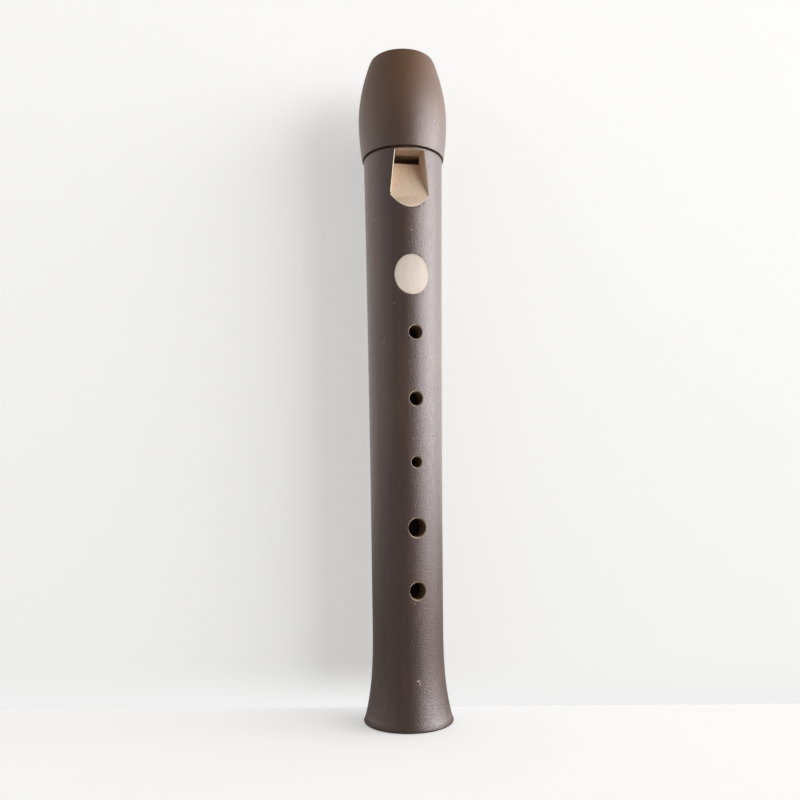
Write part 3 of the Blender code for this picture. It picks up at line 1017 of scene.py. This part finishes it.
def plain_wood(name, light, mid, edge, edge_share):
    """Unstained wood, cut smooth: fine streaks, and the edge's colour just under the outside, which
    is a painted highlight where it is paler than the wood.
    """
    material, tree, shader = new_material(name, Specular_IOR_Level=0.4)
    place = wood_place(tree)
    streaks = use_group(tree, "grain", Place=place, Across=900.0, Along=26.0, Detail=4.0)
    fibres = use_group(tree, "grain", Place=place, Across=4200.0, Along=160.0, Detail=2.0)
    rim = use_group(tree, "cut_edge", Place=place, Depth=0.5 * MM)
    colour = mixed(tree, streaks, light, mid)
    colour = mixed(tree, fibres, colour, mid, share=0.4)
    colour = mixed(tree, rim, colour, edge, share=edge_share)
    tree.links.new(colour, shader.inputs["Base Color"])
    tree.links.new(from_mask(tree, fibres, start=0.52, rise=0.12), shader.inputs["Roughness"])
    bump(tree, shader, fibres, depth=0.02 * MM, strength=0.35)
    return material


def cork_material():
    """Sanded cork: close granules with darker joints and pits."""
    material, tree, shader = new_material("sanded_cork", Specular_IOR_Level=0.2)
    place = wood_place(tree)
    granules = add_node(tree, "ShaderNodeTexVoronoi", Vector=place, Scale=900.0)
    tone = add_node(tree, "ShaderNodeSeparateColor", Color=granules.outputs["Color"]).outputs[0]
    pits = use_group(tree, "grain", Place=place, Across=1500.0, Along=1500.0, Low=0.58, High=0.66)
    colour = mixed(tree, tone, CORK_LIGHT, CORK_DARK, share=0.55)
    colour = mixed(tree, pits, colour, CORK_DARK, share=0.7)
    tree.links.new(colour, shader.inputs["Base Color"])
    tree.links.new(from_mask(tree, pits, start=0.8, rise=0.1), shader.inputs["Roughness"])
    height = calculate(tree, "SUBTRACT", granules.outputs["Distance"], pits)
    bump(tree, shader, height, depth=0.08 * MM, strength=0.6)
    return material


def paper_material(name):
    """White paper, whose glow is still to be linked."""
    glow = (*WHITE, 1.0)
    return new_material(name, Roughness=0.9, Specular_IOR_Level=0.1, Emission_Color=glow)


def seen_by_camera(tree):
    return add_node(tree, "ShaderNodeLightPath").outputs["Is Camera Ray"]


def floor_material():
    """Paper that is brighter for the camera alone."""
    material, tree, shader = paper_material("white_floor")
    seen = seen_by_camera(tree)
    tree.links.new(mixed(tree, seen, PAPER_DIM, PAPER), shader.inputs["Base Color"])
    glow = calculate(tree, "MULTIPLY", seen, FLOOR_GLOW)
    tree.links.new(glow, shader.inputs["Emission Strength"])
    return material


def backdrop_material():
    """Paper that is only there for the camera, from the front: it shades nothing behind it."""
    material, tree, shader = paper_material("white_backdrop")
    height = add_node(tree, "ShaderNodeSeparateXYZ", Vector=wood_place(tree)).outputs["Z"]
    low = ranged(tree, height, smooth=True, From_Min=BACKDROP_BLEND_HEIGHT, From_Max=0.0)
    tree.links.new(mixed(tree, low, PAPER, BLACK), shader.inputs["Base Color"])
    glow = ranged(tree, low, To_Min=BACKDROP_GLOW, To_Max=BACKDROP_FOOT)
    tree.links.new(glow, shader.inputs["Emission Strength"])
    behind = add_node(tree, "ShaderNodeNewGeometry").outputs["Backfacing"]
    front = calculate(tree, "SUBTRACT", 1.0, behind)
    clear = add_node(tree, "ShaderNodeBsdfTransparent")
    chosen = add_node(tree, "ShaderNodeMixShader")
    set_input(tree, chosen, 0, calculate(tree, "MULTIPLY", seen_by_camera(tree), front))
    set_input(tree, chosen, 1, clear.outputs[0])
    set_input(tree, chosen, 2, shader.outputs[0])
    tree.links.new(chosen.outputs[0], tree.nodes["Material Output"].inputs["Surface"])
    return material


def plane(name, corners, material):
    mesh = bpy.data.meshes.new(name)
    mesh.from_pydata(corners, [], [range(len(corners))])
    mesh.materials.append(material)
    obj = add_object(name, mesh)
    return obj


def make_stage():
    """A floor under the foot, and a backdrop just behind the tube that takes its shadow."""
    half = STAGE_SIZE / 2
    plane(
        "floor",
        [(-half, -half, 0.0), (half, -half, 0.0), (half, half, 0.0), (-half, half, 0.0)],
        floor_material(),
    )
    foot = ONWARD * BACKDROP_BEHIND
    left = foot - SIDEWAYS * half
    right = foot + SIDEWAYS * half
    top = UPWARD * STAGE_SIZE
    plane("backdrop", [left, right, right + top, left + top], backdrop_material())


def along(tree, direction, axis):
    """How far a world direction points along an axis, from -1 to 1."""
    node = add_node(tree, "ShaderNodeVectorMath", {"operation": "DOT_PRODUCT"})
    set_input(tree, node, 0, direction)
    set_input(tree, node, 1, axis)
    return node.outputs["Value"]


def make_even_light():
    """The world: it lights from all round, and the camera sees it as white."""
    world = bpy.data.worlds.new("even_light")
    bpy.context.scene.world = world
    world.use_nodes = True
    tree = world.node_tree
    background = tree.nodes["Background"]
    direction = add_node(tree, "ShaderNodeTexCoord").outputs["Generated"]
    onward = along(tree, direction, ONWARD)
    depth = ranged(tree, onward, From_Min=-1.0, From_Max=1.0, To_Min=FRONT_LIGHT, To_Max=BACK_LIGHT)
    side_axis = SIDEWAYS * sin(SIDE_LIGHT_TURN) - ONWARD * cos(SIDE_LIGHT_TURN)
    from_side = calculate(tree, "MAXIMUM", along(tree, direction, side_axis), 0.0)
    side = calculate(tree, "POWER", from_side, SIDE_LIGHT_POWER)
    from_left = calculate(tree, "MINIMUM", along(tree, direction, SIDEWAYS), 0.0)
    left = calculate(tree, "MULTIPLY", from_left, from_left)
    light = from_mask(tree, side, start=depth, rise=SIDE_LIGHT)
    light = from_mask(tree, left, start=light, rise=LEFT_LIGHT)
    from_above = ranged(
        tree,
        along(tree, direction, UPWARD),
        From_Min=TOP_LIGHT_FROM,
        From_Max=TOP_LIGHT_TO,
        To_Min=1.0,
        To_Max=TOP_LIGHT_SHARE,
    )
    light = calculate(tree, "MULTIPLY", light, from_above)
    seen = seen_by_camera(tree)
    warm = calculate(tree, "MULTIPLY", left, calculate(tree, "SUBTRACT", 1.0, seen))
    tree.links.new(mixed(tree, warm, WHITE, WARM_LIGHT), background.inputs["Color"])
    strength = ranged(tree, seen, To_Min=light, To_Max=SEEN_WHITE)
    tree.links.new(strength, background.inputs["Strength"])


def make_window_light():
    lamp = bpy.data.lights.new("window_light", "AREA")
    lamp.shape = "RECTANGLE"
    lamp.size = KEY_WIDTH
    lamp.size_y = KEY_HEIGHT
    lamp.energy = KEY_POWER
    flat = SIDEWAYS * sin(KEY_TURN) - ONWARD * cos(KEY_TURN)
    towards = flat * cos(KEY_RISE) + UPWARD * sin(KEY_RISE)
    light = add_object("window_light", lamp)
    light.location = UPWARD * MOUTH_HEIGHT / 2 + towards * KEY_DISTANCE
    light.rotation_euler = towards.to_track_quat("Z", "Y").to_euler()
    light.visible_camera = False


def make_camera():
    level = SIDEWAYS * sin(CAMERA_YAW) + ONWARD * cos(CAMERA_YAW)
    ahead = level * cos(CAMERA_PITCH) + UPWARD * sin(CAMERA_PITCH)
    right = SIDEWAYS * cos(CAMERA_YAW) - ONWARD * sin(CAMERA_YAW)
    up = right.cross(ahead)
    across = right * cos(CAMERA_ROLL) + up * sin(CAMERA_ROLL)
    raised = up * cos(CAMERA_ROLL) - right * sin(CAMERA_ROLL)
    turn = Matrix((across, raised, -ahead)).transposed()
    lens = bpy.data.cameras.new("camera")
    lens.lens = CAMERA_LENS
    lens.clip_start = CAMERA_NEAR
    lens.clip_end = CAMERA_FAR
    camera = add_object("camera", lens)
    place = UPWARD * CAMERA_HEIGHT - ONWARD * CAMERA_DISTANCE
    camera.matrix_world = Matrix.Translation(place) @ turn.to_4x4()
    bpy.context.scene.camera = camera


GROUPS = {"grain": grain_group(), "specks": speck_group(), "cut_edge": cut_edge_group()}
TREES = {"lathe": lathe_tree(), "row": row_tree()}
MATERIALS = {
    "stained": stained_wood(),
    "bare": window_wood(),
    # the finger rest's pale wood is partly a painted highlight for glare
    "rest": plain_wood("finger_rest_wood", REST_LIGHT, REST_MID, REST_EDGE, 0.6),
    # pale wood for the nick's scratch, and a painted highlight on the window's bevel
    "nick_and_painted_edge_highlight": plain_wood("pale_nick_and_painted_edge_highlight", REST_LIGHT, PALE_MARK_AND_PAINTED_HIGHLIGHT, REST_LIGHT, 0.0),
    "rim": plain_wood("hole_rim", RIM_LIGHT, RIM_MID, RIM_LIGHT, 0.0),
    # the bore's dark brown is painted shade for the dim bore and windway
    "bore": plain_wood("bore_painted_shade", BORE_LIGHT, BORE_DARK, BORE_LIGHT, 0.0),
    # the hole walls' dark brown is painted shade inside the holes
    "hole": plain_wood("hole_wall", HOLE_LIGHT, HOLE_DARK, HOLE_LIGHT, 0.0),
    "block": plain_wood("block_wood", BLOCK_LIGHT, BLOCK_MID, BLOCK_LIGHT, 0.0),
    "cork": cork_material(),
}

make_camera()
make_tube()
make_cork()
make_cap()
make_block()
make_stage()
make_even_light()
make_window_light()
bpy.context.scene.view_settings.view_transform = "Standard"
